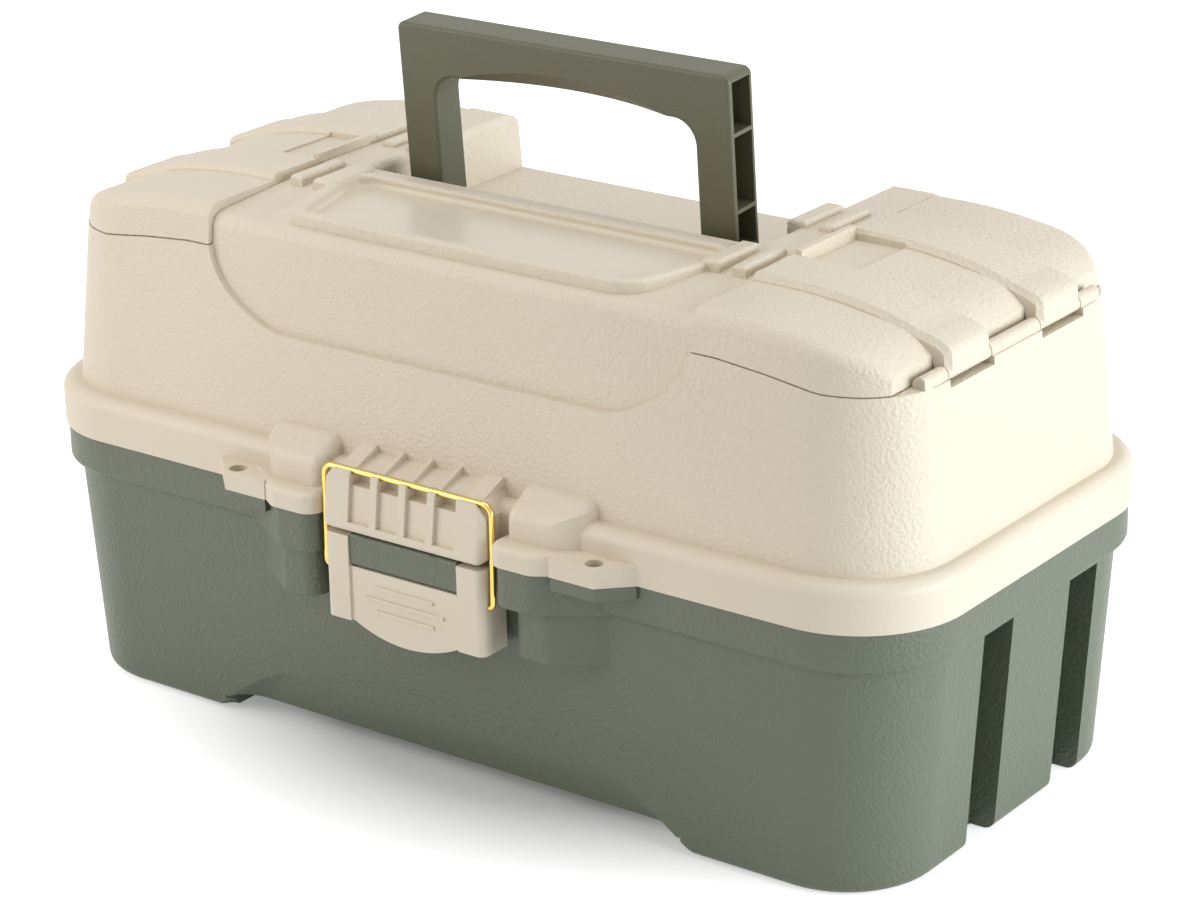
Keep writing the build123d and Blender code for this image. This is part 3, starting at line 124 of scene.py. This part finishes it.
# moulded plastic: cloudy tint and a leather grain, which fades out low down and is polished away in one box
def mouldedPlastic(name, look):
    mat, tree, shader, place = newFinish(name)
    spot = place.outputs["Object"]
    cloud = addNode(tree, "ShaderNodeTexNoise", {"Vector": spot},
                    Scale=look["cloudScale"], Detail=plastic["cloudDetail"])
    tint = tintRamp(tree, cloud.outputs["Fac"],
                    shade(look["colour"], plastic["dark"]), shade(look["colour"], plastic["light"]))
    tree.links.new(tint.outputs["Color"], shader.inputs["Base Color"])
    cells = addNode(tree, "ShaderNodeTexVoronoi", {"Vector": spot}, feature="SMOOTH_F1",
                    Scale=look["grainScale"], Smoothness=plastic["cellSmooth"])
    fine = addNode(tree, "ShaderNodeTexNoise", {"Vector": spot},
                   Scale=look["grainScale"] * plastic["fineShare"], Detail=plastic["fineDetail"])
    height = mathNode(tree, "ADD", cells.outputs["Distance"], fine.outputs["Fac"])
    if "smoothUnder" in look:
        low, high = look["smoothUnder"]
        split = addNode(tree, "ShaderNodeSeparateXYZ", {"Vector": spot})
        mask = addNode(tree, "ShaderNodeMapRange", {"Value": split.outputs["Z"]},
                       From_Min=low, From_Max=high, To_Min=plastic["smoothShare"], To_Max=1.0)
        height = mathNode(tree, "MULTIPLY", height, mask.outputs["Result"])
    bump = addNode(tree, "ShaderNodeBump", {"Height": height},
                   Strength=look["grainDepth"], Distance=plastic["bumpReach"])
    tree.links.new(bump.outputs["Normal"], shader.inputs["Normal"])
    rough = addNode(tree, "ShaderNodeMapRange", {"Value": fine.outputs["Fac"]},
                    To_Min=look["roughness"] - plastic["roughSpread"],
                    To_Max=look["roughness"] + plastic["roughSpread"])
    gloss = rough.outputs["Result"]
    if "polished" in look:
        inside = insideBox(tree, spot, look["polished"])
        calm = addNode(tree, "ShaderNodeMapRange", {"Value": inside},
                       To_Min=look["grainDepth"], To_Max=plastic["polishedGrain"])
        tree.links.new(calm.outputs["Result"], bump.inputs["Strength"])
        drop = addNode(tree, "ShaderNodeMapRange", {"Value": inside}, To_Min=0.0, To_Max=plastic["polishedDrop"])
        gloss = mathNode(tree, "SUBTRACT", gloss, drop.outputs["Result"])
    tree.links.new(gloss, shader.inputs["Roughness"])
    shader.inputs["Specular IOR Level"].default_value = look["sheen"]
    return mat


# what all the metals share
metal = {"dark": 0.9, "light": 1.05, "lineDetail": 3.0, "roughSpread": 0.06, "lineDepth": 0.08,
         "bumpReach": 0.0001}


# metal: fine drawn lines along one axis, a little dull in places
def drawnMetal(name, look):
    mat, tree, shader, place = newFinish(name)
    stretch = addNode(tree, "ShaderNodeMapping", {"Vector": place.outputs["Object"]})
    stretch.inputs["Scale"].default_value = look["stretch"]
    lines = addNode(tree, "ShaderNodeTexNoise", {"Vector": stretch.outputs["Vector"]},
                    Scale=look["lineScale"], Detail=metal["lineDetail"])
    tint = tintRamp(tree, lines.outputs["Fac"],
                    shade(look["colour"], metal["dark"]), shade(look["colour"], metal["light"]))
    tree.links.new(tint.outputs["Color"], shader.inputs["Base Color"])
    rough = addNode(tree, "ShaderNodeMapRange", {"Value": lines.outputs["Fac"]},
                    To_Min=look["roughness"] - metal["roughSpread"],
                    To_Max=look["roughness"] + metal["roughSpread"])
    tree.links.new(rough.outputs["Result"], shader.inputs["Roughness"])
    bump = addNode(tree, "ShaderNodeBump", {"Height": lines.outputs["Fac"]},
                   Strength=metal["lineDepth"], Distance=metal["bumpReach"])
    tree.links.new(bump.outputs["Normal"], shader.inputs["Normal"])
    shader.inputs["Metallic"].default_value = 1.0
    return mat


sandstone = (0.70, 0.617, 0.50)
lidLook = {"colour": sandstone, "cloudScale": 6.0, "grainScale": 560.0, "grainDepth": 0.8,
           "roughness": 0.5, "sheen": 0.5,
           "smoothUnder": (0.150, 0.156),  # flange and latch humps
           "polished": (("X", 0.0, 0.112), ("Y", -0.058, 0.033), ("Z", 0.2505, 0.0045))}  # dish floor
latchLook = {"colour": sandstone, "cloudScale": 12.0, "grainScale": 900.0, "grainDepth": 0.05,
             "roughness": 0.45, "sheen": 0.5}
baseLook = {"colour": (0.104, 0.123, 0.081), "cloudScale": 6.0, "grainScale": 560.0, "grainDepth": 0.8,
            "roughness": 0.46, "sheen": 0.6}
handleLook = {"colour": (0.101, 0.100, 0.057), "cloudScale": 10.0, "grainScale": 800.0, "grainDepth": 0.12,
              "roughness": 0.45, "sheen": 0.5}
trayLook = {"colour": shade(sandstone, 0.95), "cloudScale": 9.0, "grainScale": 900.0, "grainDepth": 0.05,
            "roughness": 0.45, "sheen": 0.4}
dividerLook = {"colour": shade(sandstone, 0.9), "cloudScale": 14.0, "grainScale": 900.0, "grainDepth": 0.05,
               "roughness": 0.42, "sheen": 0.4}
wireLook = {"colour": (0.74, 0.55, 0.17), "stretch": (1, 8, 8), "lineScale": 300.0, "roughness": 0.2}
pinLook = {"colour": (0.60, 0.60, 0.61), "stretch": (1, 8, 8), "lineScale": 250.0, "roughness": 0.35}
armLook = {"colour": (0.72, 0.73, 0.74), "stretch": (8, 1, 8), "lineScale": 200.0, "roughness": 0.38}
finishes = {
    "lid_plastic": mouldedPlastic("sandstoneGrain", lidLook),
    "latch_plastic": mouldedPlastic("sandstoneSatin", latchLook),
    "base_plastic": mouldedPlastic("greyGreenGrain", baseLook),
    "handle_plastic": mouldedPlastic("oliveSatin", handleLook),
    "tray_plastic": mouldedPlastic("traySatin", trayLook),
    "divider_plastic": mouldedPlastic("dividerSatin", dividerLook),
    "brass_wire": drawnMetal("brightBrass", wireLook),
    "steel": drawnMetal("plainSteel", pinLook),
    "arm_metal": drawnMetal("sheetAluminium", armLook),
}
slotOf = {row["node"]: row["material_slot"] for row in frame["record"]["subparts"]}
print("finishes made:", len(finishes))


def setFinish(piece, slotName):
    piece.data.materials.clear()
    piece.data.materials.append(finishes[slotName])


for nodeName, node in nodes.items():
    setFinish(node, slotOf[nodeName])


def takeUp(piece):
    bpy.ops.object.select_all(action="DESELECT")
    piece.select_set(True)
    bpy.context.view_layer.objects.active = piece


# how the mouldings are rounded: lengths in metres, angles in degrees
softening = {"mergeWithin": 0.000002, "flat": 0.05, "sharp": 32, "segments": 2, "smooth": 40, "plainSmooth": 35}


# copy of a moulded piece with its hard edges rounded over
def roundedCopy(form):
    nodeName = form["node"]
    node = nodes[nodeName]
    piece = node.copy()
    piece.data = node.data.copy()
    piece.name = form["name"]
    piece.parent = None
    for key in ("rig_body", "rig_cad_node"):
        del piece[key]
    scene.collection.objects.link(piece)
    takeUp(piece)
    bpy.ops.object.mode_set(mode="EDIT")
    bpy.ops.mesh.select_all(action="SELECT")
    bpy.ops.mesh.remove_doubles(threshold=softening["mergeWithin"])
    bpy.ops.mesh.dissolve_limited(angle_limit=math.radians(softening["flat"]))
    bpy.ops.object.mode_set(mode="OBJECT")
    rounding = piece.modifiers.new("rounding", "BEVEL")
    rounding.width = form["width"]
    rounding.segments = softening["segments"]
    rounding.limit_method = "ANGLE"
    rounding.angle_limit = math.radians(softening["sharp"])
    bpy.ops.object.modifier_apply(modifier="rounding")
    bpy.ops.object.shade_smooth_by_angle(angle=math.radians(softening["smooth"]))
    evening = piece.modifiers.new("evening", "WEIGHTED_NORMAL")
    evening.keep_sharp = True
    bpy.ops.object.modifier_apply(modifier="evening")
    setFinish(piece, slotOf[nodeName])
    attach(piece, form["body"])
    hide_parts(nodeName)
    print("rounded", nodeName, len(piece.data.polygons))


lidForm = {"node": "lid_shell", "name": "lidMoulding", "body": "lid", "width": 0.0007}
roundedCopy(lidForm)
baseForm = {"node": "base_tub", "name": "baseMoulding", "body": "base", "width": 0.0008}
roundedCopy(baseForm)
leftCoverForm = {"node": "top_cover_left", "name": "coverMouldingLeft", "body": "cover_left", "width": 0.0009}
roundedCopy(leftCoverForm)
rightCoverForm = {"node": "top_cover_right", "name": "coverMouldingRight", "body": "cover_right", "width": 0.0009}
roundedCopy(rightCoverForm)
handleForm = {"node": "carry_handle", "name": "handleMoulding", "body": "handle", "width": 0.0006}
roundedCopy(handleForm)
leverForm = {"node": "latch_lever", "name": "leverMoulding", "body": "lever", "width": 0.0005}
roundedCopy(leverForm)
for node in nodes.values():
    takeUp(node)
    bpy.ops.object.shade_smooth_by_angle(angle=math.radians(softening["plainSmooth"]))
print("edges rounded")

# white studio; the floor glows more away from the box: painted light on the floor, dimmer near the box as a
# painted shade around it, on top of its real shadow
studio = {"floorSize": 12.0, "floorDrop": 0.0004, "floorColour": 0.82, "speckScale": 40.0, "speckShare": 0.99,
          "floorRoughness": 0.9, "glowNearPaintedShade": 0.08, "glowFar": 0.75, "glowFrom": 0.12, "glowTo": 0.27, "fill": 0.42}


# one for the rays that look straight, by reflection or through something; zero for those that light the scene
def seenRays(tree):
    rays = tree.nodes.new("ShaderNodeLightPath")
    glossy = mathNode(tree, "MAXIMUM", rays.outputs["Is Camera Ray"], rays.outputs["Is Glossy Ray"])
    return mathNode(tree, "MAXIMUM", glossy, rays.outputs["Is Transmission Ray"])


def makeFloor():
    bpy.ops.object.select_all(action="DESELECT")
    bpy.ops.mesh.primitive_plane_add(size=studio["floorSize"], location=(0, 0, -studio["floorDrop"]))
    floor = bpy.context.active_object
    floor.name = "studioFloor"
    mat, tree, shader, place = newFinish("paleFloor")
    speck = addNode(tree, "ShaderNodeTexNoise", {"Vector": place.outputs["Object"]}, Scale=studio["speckScale"])
    tone = (studio["floorColour"],) * 3
    tint = tintRamp(tree, speck.outputs["Fac"], shade(tone, studio["speckShare"]), tone)
    tree.links.new(tint.outputs["Color"], shader.inputs["Base Color"])
    shader.inputs["Roughness"].default_value = studio["floorRoughness"]
    shader.inputs["Specular IOR Level"].default_value = 0.0
    # glow by distance from the box: low close to it (painted shade around the box), high farther out (painted
    # light)
    away = addNode(tree, "ShaderNodeVectorMath", {0: place.outputs["Object"]}, operation="LENGTH")
    level = addNode(tree, "ShaderNodeMapRange", {"Value": away.outputs["Value"]},
                    From_Min=studio["glowFrom"], From_Max=studio["glowTo"],
                    To_Min=studio["glowNearPaintedShade"], To_Max=studio["glowFar"])
    shader.inputs["Emission Color"].default_value = (1, 1, 1, 1)
    glow = mathNode(tree, "MULTIPLY", seenRays(tree), level.outputs["Result"])
    tree.links.new(glow, shader.inputs["Emission Strength"])
    floor.data.materials.append(mat)


def makeWorld():
    world = bpy.data.worlds.new("studioWorld")
    scene.world = world
    world.use_nodes = True
    tree = world.node_tree
    back = tree.nodes["Background"]
    level = addNode(tree, "ShaderNodeMapRange", {"Value": seenRays(tree)}, To_Min=studio["fill"], To_Max=1.0)
    back.inputs["Color"].default_value = (1, 1, 1, 1)
    tree.links.new(level.outputs["Result"], back.inputs["Strength"])


lampAim = (0, 0, 0.12)
lamps = {
    "overheadSoft": {"spot": (0.0, 0.1, 1.9), "size": 1.5, "watts": 13.0, "colour": (0.99, 0.99, 1.0)},
    "frontLeftSoft": {"spot": (-0.80, -0.98, 0.62), "size": 0.9, "watts": 7.4, "colour": (1.0, 0.97, 0.93)},
    "rightSoft": {"spot": (1.9, 0.35, 0.32), "size": 1.3, "watts": 43.5, "colour": (0.88, 0.96, 1.0)},
}


def makeLamps():
    for name, lamp in lamps.items():
        light = bpy.data.lights.new(name, "AREA")
        light.energy = lamp["watts"]
        light.size = lamp["size"]
        light.color = lamp["colour"]
        holder = bpy.data.objects.new(name, light)
        holder.location = lamp["spot"]
        aim = Vector(lampAim) - holder.location
        holder.rotation_euler = aim.to_track_quat("-Z", "Y").to_euler()
        scene.collection.objects.link(holder)


# camera settled against the photograph: angles in degrees, lens and sensor in millimetres
shot = {"turn": 36.76, "rise": 20.87, "roll": -1.09, "away": 1.73618, "aim": (0.01184, 0.0, 0.13213),
        "lens": 109.097, "sensor": 36.0}


def makeCamera():
    turn, rise, roll = (math.radians(shot[key]) for key in ("turn", "rise", "roll"))
    back = Vector((math.sin(turn) * math.cos(rise), -math.cos(turn) * math.cos(rise), math.sin(rise)))
    right = Vector((math.cos(turn), math.sin(turn), 0))
    up = back.cross(right)
    across = right * math.cos(roll) + up * math.sin(roll)
    above = up * math.cos(roll) - right * math.sin(roll)
    lens = bpy.data.cameras.new("photoCamera")
    lens.lens = shot["lens"]
    lens.sensor_width = shot["sensor"]
    holder = bpy.data.objects.new("photoCamera", lens)
    turned = Matrix((across, above, back)).transposed().to_4x4()
    turned.translation = Vector(shot["aim"]) + back * shot["away"]
    holder.matrix_world = turned
    scene.collection.objects.link(holder)
    scene.camera = holder


makeFloor()
makeWorld()
makeLamps()
makeCamera()
scene.view_settings.view_transform = "Standard"
print("studio set")
